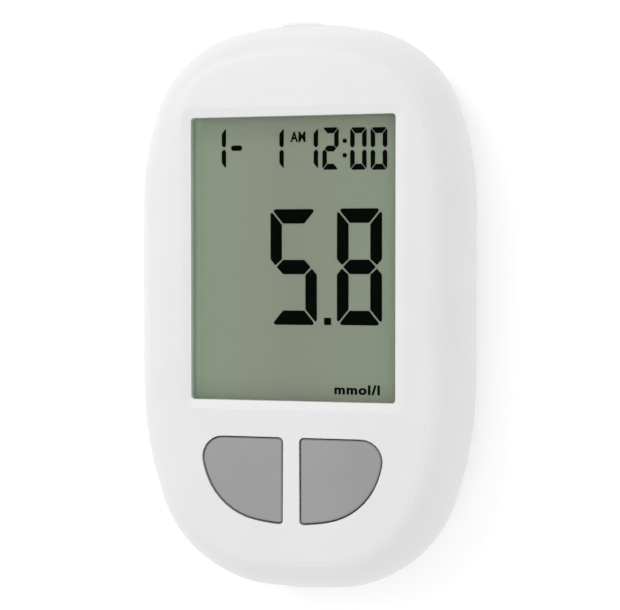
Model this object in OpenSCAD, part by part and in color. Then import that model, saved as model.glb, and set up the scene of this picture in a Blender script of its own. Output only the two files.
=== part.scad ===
// Hand-held blood glucose meter: pebble-shaped two-part housing with a segment display,
// two keys, a test strip port in the top end and two AAA cells behind a sliding door.
// It lies on its back: the display looks along +Z, the strip port along +Y, +X is to the right.
// Z = 0 is the resting plane of the back, X = Y = 0 is the middle of the housing.

/* [Housing] */
// Length of the housing, without the lip of the strip port
body_len = 95; // [93:0.5:100]
// Width of the housing at its widest
body_w = 57.2; // [56:0.2:62]
// Room in the housing between the circuit board and the front face, which sets the thickness
face_room = 5.6; // [5.5:0.1:6.5]
// Radius of the outline at the middle of the top end
top_end_r = 51; // [46:1:60]
// Radius of the outline at the upper shoulders
shoulder_r = 19.3; // [18:0.1:21]
// Radius of the outline along the upper sides
upper_side_r = 49; // [44:1:56]
// Height on the outline where the straight sides end at the top
straight_top = 17.3; // [15:0.1:18]
// Radius of the outline at the middle of the bottom end
bottom_end_r = 69; // [60:1:80]
// Radius of the outline at the lower hips
hip_r = 21.8; // [20:0.1:23]
// Radius of the outline along the lower sides
lower_side_r = 57; // [50:1:64]
// Height on the outline where the straight sides end at the bottom
straight_bottom = -13.1; // [-15:0.1:-11]
// Radius of the bulging side wall, seen in section
side_r = 14; // [13.5:0.1:16]
// Height of the widest point of the side wall above the parting line
side_over = 0.9; // [0.6:0.1:1.4]
// Radius that rolls the side wall over into the front face
front_r = 5.5; // [5:0.1:6.5]
// Radius that rolls the side wall over into the back
rear_r = 5; // [4:0.1:6]
// Wall thickness of both housing halves
wall = 1.8; // [1.6:0.1:2]
// Distance from the strip port down to the tongue of the rear half
parting_gap = 0.3; // [0.2:0.05:0.6]
// Height of the tongue that registers the two halves
tongue_h = 0.9; // [0.5:0.1:1]
// Depth of the fine groove along the parting line
seam_groove = 0.15; // [0.05:0.05:0.3]
// Width of the recess for the rating label on the back
label_w = 34; // [24:1:36]
// Depth of the recess for the rating label
label_depth = 0.2; // [0.1:0.05:0.3]

/* [Display] */
// Width of the display window
window_w = 34.7; // [32:0.1:35.5]
// Height of the display window
window_h = 46.6; // [44:0.1:47.4]
// Distance from the middle of the housing up to the middle of the window
window_y = 8.1; // [7.4:0.1:9]
// Corner radius of the window
window_r = 0.6; // [0.3:0.1:1.5]
// Width of the sloping border round the window
bevel_w = 1.5; // [0.5:0.1:1.8]
// Depth of the sloping border
bevel_d = 0.35; // [0.2:0.05:0.5]
// Thickness of the window flange behind the front face
lens_flange_t = 0.7; // [0.5:0.1:0.8]
// Thickness of each glass of the display
glass_t = 0.55; // [0.4:0.05:0.6]
// Thickness of each polarising film
film_t = 0.2; // [0.1:0.05:0.25]

/* [Keys] */
// Width of both key openings together
keys_w = 31.2; // [29:0.1:32]
// Width of the bridge between the key openings
key_bridge = 2.65; // [2:0.05:4]
// Distance from the display window down to the key openings
keys_drop = 5.9; // [5.7:0.1:6.6]
// Height of the key openings
keys_h = 14.4; // [13.4:0.1:15.2]
// Gap round each key
key_gap = 0.22; // [0.15:0.01:0.35]
// Height of a key above the front face
key_proud = 0.1; // [0:0.05:0.4]
// Travel of a key
key_travel = 0.5; // [0.3:0.05:0.5]

/* [Power] */
// Diameter of an AAA cell
cell_d = 10.4; // [10:0.1:10.5]
// Length of an AAA cell over its positive cap
cell_len = 44.5; // [43.5:0.1:44.8]
// How far the battery door reaches past the cells on each side
door_margin = 2.7; // [2.5:0.1:3.3]
// Thickness of the battery door
door_t = 1.2; // [1:0.05:1.3]

/* [Board] */
// Thickness of the circuit board
board_t = 1; // [0.8:0.1:1.2]
// Gap between the battery bay and the circuit board
board_gap = 0.4; // [0.3:0.05:0.6]
// Gap between the edge of the board and the wall of the housing
board_edge_gap = 0.5; // [0.3:0.1:1]
// Diameter of the housing screws
screw_d = 2; // [1.6:0.1:2.2]

/* [Strip port] */
// Width of the test strip slot
strip_w = 5.6; // [4.6:0.1:5.8]
// Height of the test strip slot
strip_h = 1.2; // [0.8:0.1:1.4]
// Distance from the circuit board down to the middle of the slot
strip_drop = 2; // [1.8:0.05:2.1]
// How far the lip stands out of the widest outline
port_lip = 0.1; // [0.05:0.05:0.5]

/* [Hidden] */
$fn = 64;

// clearances shared by pieces that fit together
fit_gap = 0.1;
slide_gap = 0.15;
bore_gap = 0.02;
over = 1;
// thickness of the ribs inside the housing
rib_t = 0.8;

// ---------- helpers ----------
function unit(v) = v / norm(v);
function heading(a, b) = atan2(b[1] - a[1], b[0] - a[0]);
function at_angle(c, r, a) = c + r * [cos(a), sin(a)];
function arc_points(c, r, a0, a1, n, from = 0) = [for (k = [from : n]) at_angle(c, r, a0 + (a1 - a0) * k / n)];
// points along arcs that run on into each other, each given as [centre, radius, from, to, steps]
function chain(arcs) = [for (k = [0 : len(arcs) - 1]) let(q = arcs[k])
  each arc_points(q[0], q[1], q[2], q[3], q[4], k == 0 ? 0 : 1)];
// centre of the arc of radius r that touches two arcs from inside
function blend_centre(c1, r1, c2, r2, r, up) =
  let(d = norm(c2 - c1), along = ((r1 - r) ^ 2 - (r2 - r) ^ 2 + d ^ 2) / (2 * d),
      across = sqrt((r1 - r) ^ 2 - along ^ 2), u = unit(c2 - c1), n = [-u[1], u[0]],
      p = c1 + along * u + across * n, q = c1 + along * u - across * n)
  (p - q) * [1, up] > 0 ? p : q;
// side, corner and end arc of a right-hand quadrant as [centre, radius, from, to], anticlockwise
function quadrant(end_y, half_w, end_r, corner_r, flank_r, flank_y, up) =
  let(end_c = [0, end_y - up * end_r], flank_c = [half_w - flank_r, flank_y],
      corner_c = blend_centre(end_c, end_r, flank_c, flank_r, corner_r, up),
      a_end = heading(end_c, corner_c), a_flank = heading(flank_c, corner_c))
  [
    [flank_c, flank_r, min(0, a_flank), max(0, a_flank)],
    [corner_c, corner_r, min(a_flank, a_end), max(a_flank, a_end)],
    [end_c, end_r, min(a_end, up * 90), max(a_end, up * 90)]
  ];
function rounded_rect(w, h, r, n = 5) = [
  for (q = [[1, -1, -90], [1, 1, 0], [-1, 1, 90], [-1, -1, 180]])
    each arc_points([q[0] * (w / 2 - r), q[1] * (h / 2 - r)], r, q[2], q[2] + 90, n)
];
module block(x, y, z) {
  translate([x[0], y[0], z[0]]) cube([x[1] - x[0], y[1] - y[0], z[1] - z[0]]);
}
module rod(at, r, z) {
  translate([at[0], at[1], z[0]]) cylinder(r = r, h = z[1] - z[0]);
}
module plate(points, z) {
  translate([0, 0, z[0]]) linear_extrude(z[1] - z[0]) polygon(points);
}
module rounded_plate(w, h, r, z) {
  translate([0, window_y, 0]) plate(rounded_rect(w, h, r), z);
}
module both_sides() {
  for (s = [0, 1]) mirror([s, 0, 0]) children();
}
function lifted(points, z) = [for (p = points) [p[0], p[1], z]];
function drawn_to(points, c, share) = [for (p = points) c + share * (p - c)];
// triangles between rings 0 to last of n points each
function skin(n, last) = [for (j = [0 : last - 1], k = [0 : n - 1]) let(m = (k + 1) % n)
  each [[j * n + k, (j + 1) * n + k, j * n + m], [j * n + m, (j + 1) * n + k, (j + 1) * n + m]]];
// a closed solid through rings listed from the bottom up, closed by one top point
module crowned(rings, tip) {
  n = len(rings[0]);
  last = len(rings) - 1;
  points = concat([for (ring = rings) each ring], [tip]);
  bottom = [[for (k = [0 : n - 1]) k]];
  cap = [for (k = [0 : n - 1]) [last * n + k, len(points) - 1, last * n + (k + 1) % n]];
  polyhedron(points, concat(bottom, skin(n, last), cap));
}
// a straight-sided solid from one outline up to another with as many points
module frustum(low, low_z, high, high_z) {
  n = len(low);
  faces = concat([[for (k = [0 : n - 1]) k]], skin(n, 1), [[for (k = [n - 1 : -1 : 0]) n + k]]);
  polyhedron(concat(lifted(low, low_z), lifted(high, high_z)), faces);
}

// ---------- battery bay ----------
cell_gap = 0.15;
bay_slack = 0.3;
cell_x = cell_d / 2 + cell_gap;
cell_z = door_t + bay_slack + cell_d / 2;
bay_end = 6.5;
bay_low = -body_len / 2 + bay_end;
contact_t = 0.4;
spring_len = 3.7;
bay_len = cell_len + spring_len + 2 * contact_t;
bay_y = [bay_low, bay_low + bay_len];
bay_half = cell_x + cell_d / 2 + bay_slack;
door_w = 2 * (bay_half + door_margin);
bay_wall = 1.2;
bay_roof = 0.8;
cell_rib_h = 2;
bay_top = cell_z + cell_d / 2 + bay_slack;
door_end = bay_y[1] + bay_wall;
door_tongue = 0.8;
door_tongue_t = 0.5;
door_tongue_z = 0.45;
ledge_t = 1.25;
ledge_w = 1.6;
ledge_set_in = 3;
tab_half = 1;

// the board lies over the bay, and the front face over the board
board_z = bay_top + bay_roof + board_gap;
board_top = board_z + board_t;
body_t = board_top + face_room;
strip_z = board_z - strip_drop;
// the halves part below the lip of the strip port
nose_half_h = 1.6;
nose_z = [strip_z - nose_half_h, strip_z + nose_half_h];
parting_z = nose_z[0] - parting_gap - tongue_h;
side_z = parting_z + side_over;

// ---------- outline and section of the housing ----------
top_arcs = quadrant(body_len / 2, body_w / 2, top_end_r, shoulder_r, upper_side_r, straight_top, 1);
low_arcs = quadrant(-body_len / 2, body_w / 2, bottom_end_r, hip_r, lower_side_r, straight_bottom, -1);
facet_angle = 6;
function steps_of(arc) = max(1, round((arc[3] - arc[2]) / facet_angle));
function inset_arc(arc, inset, from) = arc_points(arc[0], arc[1] - inset, arc[2], arc[3], steps_of(arc), from);
function mirrored(points) = [for (k = [len(points) - 1 : -1 : 0]) [-points[k][0], points[k][1]]];
// outline of the housing drawn in by inset, anticlockwise; every inset gives as many points
function outline(inset) =
  let(low = [for (arc = [low_arcs[2], low_arcs[1], low_arcs[0]]) each inset_arc(arc, inset, 1)],
      top = [for (k = [0 : 2]) each inset_arc(top_arcs[k], inset, k == 0 ? 0 : 1)],
      right = concat(low, [for (k = [0 : len(top) - 2]) top[k]]),
      left = mirrored(right))
  concat(right, [[0, top_arcs[2][0][1] + top_end_r - inset]],
    left, [[0, low_arcs[2][0][1] - bottom_end_r + inset]]);

// section arcs; x = 0 is the widest point of the side wall and -x leads inwards
side_c = [-side_r, side_z];
front_c = [side_c[0] + sqrt((side_r - front_r) ^ 2 - (body_t - front_r - side_z) ^ 2), body_t - front_r];
rear_c = [side_c[0] + sqrt((side_r - rear_r) ^ 2 - (side_z - rear_r) ^ 2), rear_r];
front_a = heading(side_c, front_c);
rear_a = heading(side_c, rear_c);
outer_steps = 5;
inner_steps = 3;
tongue_x = -wall / 2;
tongue_z = parting_z + tongue_h;
function wall_a(z, inset) = asin((z - side_z) / (side_r - inset));

// sections run anticlockwise from the inner edge of the flat face round the rim to its outer edge
front_section = concat(
  chain([
    [front_c, front_r - wall, 90, front_a, inner_steps],
    [side_c, side_r - wall, front_a, wall_a(tongue_z + fit_gap, wall), inner_steps]
  ]),
  [[tongue_x + fit_gap / 2, tongue_z + fit_gap], [tongue_x + fit_gap / 2, parting_z],
    [-seam_groove, parting_z]],
  chain([
    [side_c, side_r, wall_a(parting_z + seam_groove, 0), 0, 1],
    [side_c, side_r, 0, front_a, outer_steps],
    [front_c, front_r, front_a, 90, outer_steps]
  ])
);
rear_section = concat(
  chain([
    [rear_c, rear_r, -90, rear_a, outer_steps],
    [side_c, side_r, rear_a, wall_a(parting_z - seam_groove, 0), outer_steps]
  ]),
  [[-seam_groove, parting_z], [tongue_x - fit_gap / 2, parting_z], [tongue_x - fit_gap / 2, tongue_z]],
  chain([
    [side_c, side_r - wall, wall_a(tongue_z, wall), rear_a, inner_steps],
    [rear_c, rear_r - wall, rear_a, -90, inner_steps]
  ])
);
door_section = arc_points(rear_c, rear_r, -90, asin((door_t - rear_r) / rear_r), outer_steps);

// a section carried round the whole outline, its first and last ring closed by flat faces
module carried_round(section) {
  rings = [for (p = section) lifted(outline(-p[0]), p[1])];
  n = len(rings[0]);
  last = len(rings) - 1;
  first_face = [[for (k = [0 : n - 1]) k]];
  last_face = [[for (k = [n - 1 : -1 : 0]) last * n + k]];
  polyhedron([for (ring = rings) each ring], concat(first_face, skin(n, last), last_face));
}

// ---------- levels from front to back ----------
face_under = body_t - wall;
lens_z = [face_under - lens_flange_t, body_t - bevel_d - fit_gap];
lens_to_film = 0.35;
lens_margin = 1.35;
front_film_z = [lens_z[0] - lens_to_film - film_t, lens_z[0] - lens_to_film];
front_glass_z = [front_film_z[0] - glass_t, front_film_z[0]];
rear_glass_z = [front_glass_z[0] - glass_t, front_glass_z[0]];
rear_film_z = [rear_glass_z[0] - film_t, rear_glass_z[0]];

// how far the inner wall of the front half lies inside the widest outline at height z
function side_inset(z) = -side_c[0] - sqrt((side_r - wall) ^ 2 - (z - side_c[1]) ^ 2);
function corner_inset(z) = -front_c[0] - sqrt((front_r - wall) ^ 2 - (z - front_c[1]) ^ 2);

// ---------- display ----------
glass_margin = 1.4;
glass_w = window_w + 2 * glass_margin;
glass_top = window_y + window_h / 2 + glass_margin;
contact_ledge = 2.8;
rear_glass_low = window_y - window_h / 2 - glass_margin;
front_glass_low = rear_glass_low - contact_ledge;
holder_gap = 0.1;
holder_wall = 0.8;
holder_half = glass_w / 2 + holder_gap + holder_wall;

// ---------- keys ----------
key_x0 = key_bridge / 2;
keys_top = window_y - window_h / 2 - keys_drop;
keys_bottom = keys_top - keys_h;
key_corner_r = 0.8;
key_outer_r = 3.6;
key_end_r = 32.6;
key_hip_r = 11.2;
key_flank_r = 15.6;
key_flank_drop = 1.2;
key_flank_y = keys_top - key_flank_drop;
// the rim of a key rolls over by this much down and this much in
key_rim_r = 0.45;
key_rim_in = 0.36;
key_crown = 0.2;
key_flange = 0.6;
key_flange_t = 0.8;
key_rest_gap = 0.1;
key_post_r = 1.5;
key_arcs = quadrant(keys_bottom, keys_w / 2, key_end_r, key_hip_r, key_flank_r, key_flank_y, -1);
// outline of the right key opening, drawn in by inset; anticlockwise from the inner top corner
function key_outline(inset) =
  let(end_c = key_arcs[2][0], flank_c = key_arcs[0][0],
      in_low = [key_x0 + key_corner_r,
        end_c[1] - sqrt((key_end_r - key_corner_r) ^ 2 - (key_x0 + key_corner_r) ^ 2)],
      in_top = [key_x0 + key_corner_r, keys_top - key_corner_r],
      out_top = [flank_c[0] + sqrt((key_flank_r - key_outer_r) ^ 2 - (keys_top - key_outer_r - flank_c[1]) ^ 2),
        keys_top - key_outer_r],
      end_from = heading(end_c, in_low), flank_to = heading(flank_c, out_top))
  chain([
    [in_top, key_corner_r - inset, 90, 180, 4],
    [in_low, key_corner_r - inset, 180, 360 + end_from, 4],
    [end_c, key_end_r - inset, end_from, key_arcs[2][3], 6],
    [key_arcs[1][0], key_hip_r - inset, key_arcs[1][2], key_arcs[1][3], 8],
    [flank_c, key_flank_r - inset, key_arcs[0][2], flank_to, 2],
    [out_top, key_outer_r - inset, flank_to, 90, 7]
  ]);
key_post_drop = 6.1;
key_post_in = 8;
key_centre = [keys_w / 2 - key_post_in, keys_top - key_post_drop];

// ---------- screws and posts ----------
boss_gap = 0.95;
boss_drop = 0.3;
boss_r = 2.3;
boss_bottom = parting_z + tongue_h;
head_r = screw_d * 0.95;
head_h = 1.3;
head_z = 3;
well_r = head_r + slide_gap;
well_wall = 0.8;
top_boss_x = 12.5;
top_boss = [top_boss_x, glass_top + holder_gap + holder_wall + boss_gap + boss_r];
low_boss = [door_w / 2 + ledge_w + well_r + boss_gap, key_centre[1] - boss_drop];
boss_at = [for (p = [top_boss, low_boss], s = [1, -1]) [s * p[0], p[1]]];
screw_len = 10;
standoff_r = 1.6;
standoff_x = holder_half + fit_gap + standoff_r;
standoff_y = 3;
standoff_at = [for (s = [1, -1]) [s * standoff_x, standoff_y]];
board_screw_d = 1.4;
board_screw_len = 3.6;
board_head_r = 1.4;
board_head_h = 1;
post_inset = 8.2;
post_y = [-12, 24];
post_at = [for (y = post_y, s = [1, -1]) [s * (body_w / 2 - post_inset), y]];
post_r = 1.2;

// ---------- strip port ----------
nose_wall = 0.7;
nose_half = strip_w / 2 + nose_wall;
nose_ramp = 1.4;
nose_step = 0.5;
nose_y = body_len / 2 + port_lip;
guide_flange = 1.5;
guide_flange_t = 1.5;
guide_len = 4.2;
guide_back = body_len / 2 - guide_len;
connector_x = 6;
connector_len = 9.5;
connector_y = [guide_back - connector_len, guide_back];
connector_drop = 1.5;
connector_floor = strip_z - connector_drop;
connector_back = 1;

// =====================================================================
// housing
// =====================================================================
module front_housing() color("white") difference() {
  union() {
    carried_round(front_section);
    for (p = boss_at) rod(p, boss_r, [boss_bottom, body_t - wall / 2]);
    for (p = standoff_at) rod(p, standoff_r, [board_top, body_t - wall / 2]);
    window_rib();
  }
  window_cut();
  both_sides() plate(key_outline(0), [face_under - over, body_t + over]);
  for (p = boss_at) rod(p, screw_d / 2 + bore_gap, [boss_bottom - over, head_z + head_h + screw_len + over]);
  for (p = standoff_at)
    rod(p, board_screw_d / 2 + bore_gap, [board_top - over, board_z + board_screw_len + over]);
  block([-nose_half - fit_gap, nose_half + fit_gap], [guide_back, nose_y + over],
    [nose_z[0] - fit_gap, nose_z[1] + fit_gap]);
}
rib_h = 1.2;
lens_w = window_w + 2 * lens_margin;
lens_h = window_h + 2 * lens_margin;
module window_rib() {
  difference() {
    rounded_plate(lens_w + 2 * fit_gap + 2 * rib_t, lens_h + 2 * fit_gap + 2 * rib_t, 2 * window_r,
      [face_under - rib_h, face_under + wall / 2]);
    rounded_plate(lens_w + 2 * fit_gap, lens_h + 2 * fit_gap, window_r,
      [face_under - rib_h - over, face_under]);
  }
}
module window_cut() {
  slope = bevel_w / bevel_d;
  rise = 0.2;
  rounded_plate(window_w, window_h, window_r, [face_under - over, body_t + over]);
  grow = bevel_w + slope * rise;
  translate([0, window_y, 0]) frustum(
    rounded_rect(window_w, window_h, window_r), body_t - bevel_d,
    rounded_rect(window_w + 2 * grow, window_h + 2 * grow, window_r + bevel_w), body_t + rise);
}

module rear_housing() color("whitesmoke") difference() {
  union() {
    carried_round(rear_section);
    // the box of the battery bay, its roof included
    block([-bay_half - bay_wall, bay_half + bay_wall], [bay_y[0] - bay_wall, bay_y[1] + bay_wall],
      [wall / 2, bay_top + bay_roof]);
    // the ledge that the door runs under
    block([-door_w / 2 - ledge_w, door_w / 2 + ledge_w], [bay_y[0] + ledge_set_in, door_end + ledge_w],
      [wall / 2, door_t + slide_gap + ledge_t]);
    for (p = boss_at) rod(p, well_r + well_wall, [wall / 2, boss_bottom - fit_gap]);
    for (p = post_at) rod(p, post_r, [wall / 2, board_z]);
  }
  // room for the door, its side tongues and the cells
  block([-door_w / 2 - slide_gap, door_w / 2 + slide_gap], [-body_len, door_end + slide_gap],
    [-over, door_t + slide_gap]);
  block([-door_w / 2 - door_tongue - slide_gap, door_w / 2 + door_tongue + slide_gap],
    [-body_len, door_end + slide_gap],
    [door_tongue_z - slide_gap / 2, door_tongue_z + door_tongue_t + slide_gap / 2]);
  difference() {
    block([-bay_half, bay_half], bay_y, [-over, bay_top]);
    // rib under the roof that keeps the two cells apart
    block([-rib_t / 2, rib_t / 2], [bay_y[0] + contact_t + spring_len, bay_y[1] - contact_t - spring_len],
      [bay_top - cell_rib_h, bay_top + over]);
  }
  both_sides() block([cell_x - tab_half - fit_gap, cell_x + tab_half + fit_gap],
    [bay_y[1] - contact_t - fit_gap, bay_y[1]], [bay_top - over, board_z]);
  for (p = boss_at) {
    rod(p, well_r, [-over, head_z + head_h]);
    rod(p, screw_d / 2 + slide_gap, [0, boss_bottom + over]);
  }
  // recess for the rating label, between the door and the upper screws
  translate([0, (label_y[0] + label_y[1]) / 2, 0])
    plate(rounded_rect(label_w, label_y[1] - label_y[0], label_r), [-over, label_depth]);
}
label_border = 2.8;
label_r = 1.5;
label_y = [door_end + label_border, top_boss[1] - well_r - label_border];

module battery_door() color("gainsboro") difference() {
  union() {
    intersection() {
      carried_round(door_section);
      block([-door_w / 2, door_w / 2], [-body_len, door_end], [-over, body_t]);
    }
    // tongues that run in the grooves of the housing
    both_sides() for (y = tongue_at)
      block([door_w / 2 - wall, door_w / 2 + door_tongue], [y, y + tongue_len],
        [door_tongue_z, door_tongue_z + door_tongue_t]);
  }
  // finger grip
  for (k = [0 : grip_lines - 1])
    block([-grip_w / 2, grip_w / 2], [grip_y - k * grip_step, grip_y - k * grip_step + grip_line_w],
      [-over, grip_depth]);
  // arrow that shows which way the door slides off
  translate([0, arrow_y, 0]) plate([[-arrow_w / 2, 0], [0, -arrow_h], [arrow_w / 2, 0]], [-over, grip_depth]);
}
tongue_len = 7;
tongue_at = [-36, -17, 0];
grip_lines = 6;
grip_w = 13;
grip_y = 3;
grip_step = 1.8;
grip_line_w = 0.9;
grip_depth = 0.4;
arrow_w = 6;
arrow_h = 3.6;
arrow_gap = 1.5;
arrow_y = grip_y - grip_lines * grip_step - arrow_gap;

// =====================================================================
// display
// =====================================================================
module display_window() color("lightcyan", 0.4) {
  rounded_plate(lens_w, lens_h, window_r, [lens_z[0], face_under]);
  rounded_plate(window_w - 2 * fit_gap, window_h - 2 * fit_gap, window_r,
    [face_under - lens_flange_t / 2, lens_z[1]]);
}
film_inset = 0.3;
module sheet(inset, y_low, z) {
  block([-glass_w / 2 + inset, glass_w / 2 - inset], [y_low + inset, glass_top - inset], z);
}
module front_polariser() color("darkseagreen") sheet(film_inset, rear_glass_low, front_film_z);
module lcd_front_glass() color("lightgray") sheet(0, front_glass_low, front_glass_z);
module lcd_rear_glass() color("lightgray") sheet(0, rear_glass_low, rear_glass_z);
module rear_polariser() color("darkseagreen") sheet(film_inset, rear_glass_low, rear_film_z);

holder_ledge = 1.2;
holder_lip = 0.5;
holder_top = front_glass_z[0] + holder_lip;
holder_peg_r = 0.6;
holder_peg_x = glass_w / 2 + holder_gap;
holder_peg_inset = 5;
holder_peg_at = [for (y = [front_glass_low + holder_peg_inset, glass_top - holder_peg_inset], s = [1, -1])
  [s * holder_peg_x, y]];
module lcd_holder() color("ivory") {
  x = glass_w / 2 + holder_gap;
  y = [front_glass_low - holder_gap, glass_top + holder_gap];
  difference() {
    intersection() {
      block([-holder_half, holder_half], [y[0] - holder_wall, y[1] + holder_wall], [board_top, holder_top]);
      plate(outline(corner_inset(holder_top) + fit_gap), [board_top, holder_top]);
    }
    block([-x, x], y, [rear_film_z[0], body_t]);
    block([-x + holder_ledge, x - holder_ledge], [y[0], y[1] - holder_ledge], [0, body_t]);
  }
  for (p = holder_peg_at) rod(p, holder_peg_r, [board_z, board_top + over / 2]);
}
strip_end_inset = 1.4;
elastomer_t = 2;
elastomer_y = [front_glass_low + film_inset, front_glass_low + film_inset + elastomer_t];
module elastomer_strip() color("hotpink")
  block([-glass_w / 2 + strip_end_inset, glass_w / 2 - strip_end_inset], elastomer_y,
    [board_top, front_glass_z[0]]);

// =====================================================================
// board and what it carries
// =====================================================================
module main_board() color("seagreen") difference() {
  plate(outline(side_inset(board_top) + board_edge_gap), [board_z, board_top]);
  // open notches for the screw bosses
  for (p = boss_at) {
    rod(p, boss_r + slide_gap, [board_z - over, board_top + over]);
    block([min(p[0], sign(p[0]) * body_w), max(p[0], sign(p[0]) * body_w)],
      [p[1] - boss_r - slide_gap, p[1] + boss_r + slide_gap], [board_z - over, board_top + over]);
  }
  for (p = standoff_at) rod(p, board_screw_d / 2 + slide_gap, [board_z - over, board_top + over]);
  for (p = holder_peg_at) rod(p, holder_peg_r + bore_gap, [board_z - over, board_top + over]);
}
// a flat chip under the board with leads along its sides
module chip(at, size, body_h, leads) {
  lead_w = 0.35;
  lead_out = 0.9;
  lead_t = 0.25;
  pitch = size[1] / (leads + 1);
  translate([at[0], at[1], board_z]) {
    block([-size[0] / 2, size[0] / 2], [-size[1] / 2, size[1] / 2], [-body_h - lead_t / 2, -lead_t / 2]);
    for (k = [1 : leads])
      block([-size[0] / 2 - lead_out, size[0] / 2 + lead_out],
        [-size[1] / 2 + k * pitch - lead_w / 2, -size[1] / 2 + k * pitch + lead_w / 2], [-lead_t, 0]);
  }
}
// the parts lie on the board between the battery bay and the strip connector; their places
// are counted from the end of the bay
parts_y = bay_y[1] + bay_wall;
controller_xy = [-8, 7];
controller_size = [9, 9];
controller_leads = 9;
analog_xy = [4, 10.5];
analog_size = [4, 5];
analog_leads = 4;
chip_h = 1.3;
function on_board(xy) = [xy[0], parts_y + xy[1]];
module microcontroller() color("dimgray")
  chip(on_board(controller_xy), controller_size, chip_h, controller_leads);
module analog_chip() color("dimgray")
  chip(on_board(analog_xy), analog_size, chip_h, analog_leads);
// a watch crystal: a small can held on the board by a strap, with two wires out of its end
crystal_xy = [-15.5, 3.8];
crystal_r = 1;
crystal_len = 6;
crystal_wire = 0.3;
// where the strap lies, in shares of the can's length
strap_from = 0.7;
strap_to = 0.9;
module crystal() color("silver") translate([crystal_xy[0], parts_y + crystal_xy[1], board_z - crystal_r]) {
  rotate([-90, 0, 0]) cylinder(r = crystal_r, h = crystal_len);
  for (x = [-crystal_r / 2, crystal_r / 2])
    block([x - crystal_wire / 2, x + crystal_wire / 2], [-crystal_len / 4, crystal_wire],
      [-crystal_wire / 2, crystal_wire / 2]);
  block([-crystal_r, crystal_r], [crystal_len * strap_from, crystal_len * strap_to], [crystal_r / 2, crystal_r]);
}
capacitor_size = [1.6, 0.8, 0.8];
capacitor_pitch = 2.6;
// rows of capacitors, each given by the corner of its first one
row_by_bay = [-1, 4.8];
row_by_buzzer = [6.5, 14];
row_by_controller = [-12, 13.2];
function capacitor_row(xy, count) = [for (k = [0 : count - 1]) on_board([xy[0] + k * capacitor_pitch, xy[1]])];
capacitor_at = concat(capacitor_row(row_by_bay, 3), capacitor_row(row_by_buzzer, 2),
  capacitor_row(row_by_controller, 2));
module chip_capacitors() color("tan") for (at = capacitor_at)
  block([at[0], at[0] + capacitor_size[0]], [at[1], at[1] + capacitor_size[1]],
    [board_z - capacitor_size[2], board_z]);
buzzer_xy = [14.2, 6.5];
buzzer_at = on_board(buzzer_xy);
buzzer_r = 4.5;
buzzer_h = 3;
buzzer_hole_r = 0.9;
buzzer_hole_deep = 1;
module buzzer() color("black") difference() {
  rod(buzzer_at, buzzer_r, [board_z - buzzer_h, board_z]);
  rod(buzzer_at, buzzer_hole_r, [board_z - buzzer_h - over, board_z - buzzer_h + buzzer_hole_deep]);
}
module board_screws() color("silver") for (p = standoff_at) {
  rod(p, board_screw_d / 2, [board_z - board_head_h, board_z + board_screw_len]);
  rod(p, board_head_r, [board_z - board_head_h, board_z]);
}
// a cross recess in the head of each screw, as long and as wide as these shares of the head
cross_len = 1.2;
cross_w = 0.3;
module housing_screws() color("silver") for (p = boss_at) {
  rod(p, screw_d / 2, [head_z + head_h / 2, head_z + head_h + screw_len]);
  difference() {
    rod(p, head_r, [head_z, head_z + head_h]);
    for (a = [0, 90]) translate([p[0], p[1], head_z]) rotate([0, 0, a])
      cube([head_r * cross_len, head_r * cross_w, head_h], center = true);
  }
}

// =====================================================================
// keys and their switches
// =====================================================================
key_base_z = face_under - key_rest_gap;
key_top = body_t + key_proud;
key_post_len = 0.8;
switch_h = key_base_z - key_flange_t - key_post_len - key_travel - fit_gap - board_top;
switch_half = 2.5;
switch_leg_y = 1.6;
switch_leg_w = 0.7;
switch_leg_t = 0.25;
switch_leg_out = 0.9;
plunger_r = 1.25;
plunger_z = [board_top + key_travel + fit_gap, board_top + switch_h + key_travel + fit_gap];
module key() color("darkgray") {
  edge_z = key_top - key_crown;
  rim_steps = 4;
  inner = key_outline(key_gap + key_rim_in);
  shares = [1, 0.8, 0.6, 0.4, 0.2];
  rings = concat(
    [lifted(key_outline(key_gap), key_base_z - key_flange_t / 2)],
    [for (k = [0 : rim_steps]) let(a = 90 * k / rim_steps)
      lifted(key_outline(key_gap + key_rim_in * (1 - cos(a))), edge_z - key_rim_r * (1 - sin(a)))],
    [for (s = [1 : len(shares) - 1])
      lifted(drawn_to(inner, key_centre, shares[s]), edge_z + key_crown * (1 - shares[s] ^ 2))]
  );
  crowned(rings, [key_centre[0], key_centre[1], key_top]);
  plate(key_outline(-key_flange), [key_base_z - key_flange_t, key_base_z]);
  rod(key_centre, key_post_r, [plunger_z[1], key_base_z - key_flange_t / 2]);
}
module left_button() mirror([1, 0, 0]) key();
module right_button() key();
module switch() color("silver") difference() {
  translate([key_centre[0], key_centre[1], 0]) {
    block([-switch_half, switch_half], [-switch_half, switch_half], [board_top, board_top + switch_h]);
    for (y = [-switch_leg_y, switch_leg_y])
      block([-switch_half - switch_leg_out, switch_half + switch_leg_out],
        [y - switch_leg_w / 2, y + switch_leg_w / 2], [board_top, board_top + switch_leg_t]);
  }
  rod(key_centre, plunger_r + fit_gap / 2, [board_top - over, board_top + switch_h + over]);
}
module left_switch() mirror([1, 0, 0]) switch();
module right_switch() switch();
module plunger() color("black") rod(key_centre, plunger_r, plunger_z);
module left_plunger() mirror([1, 0, 0]) plunger();
module right_plunger() plunger();

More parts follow.
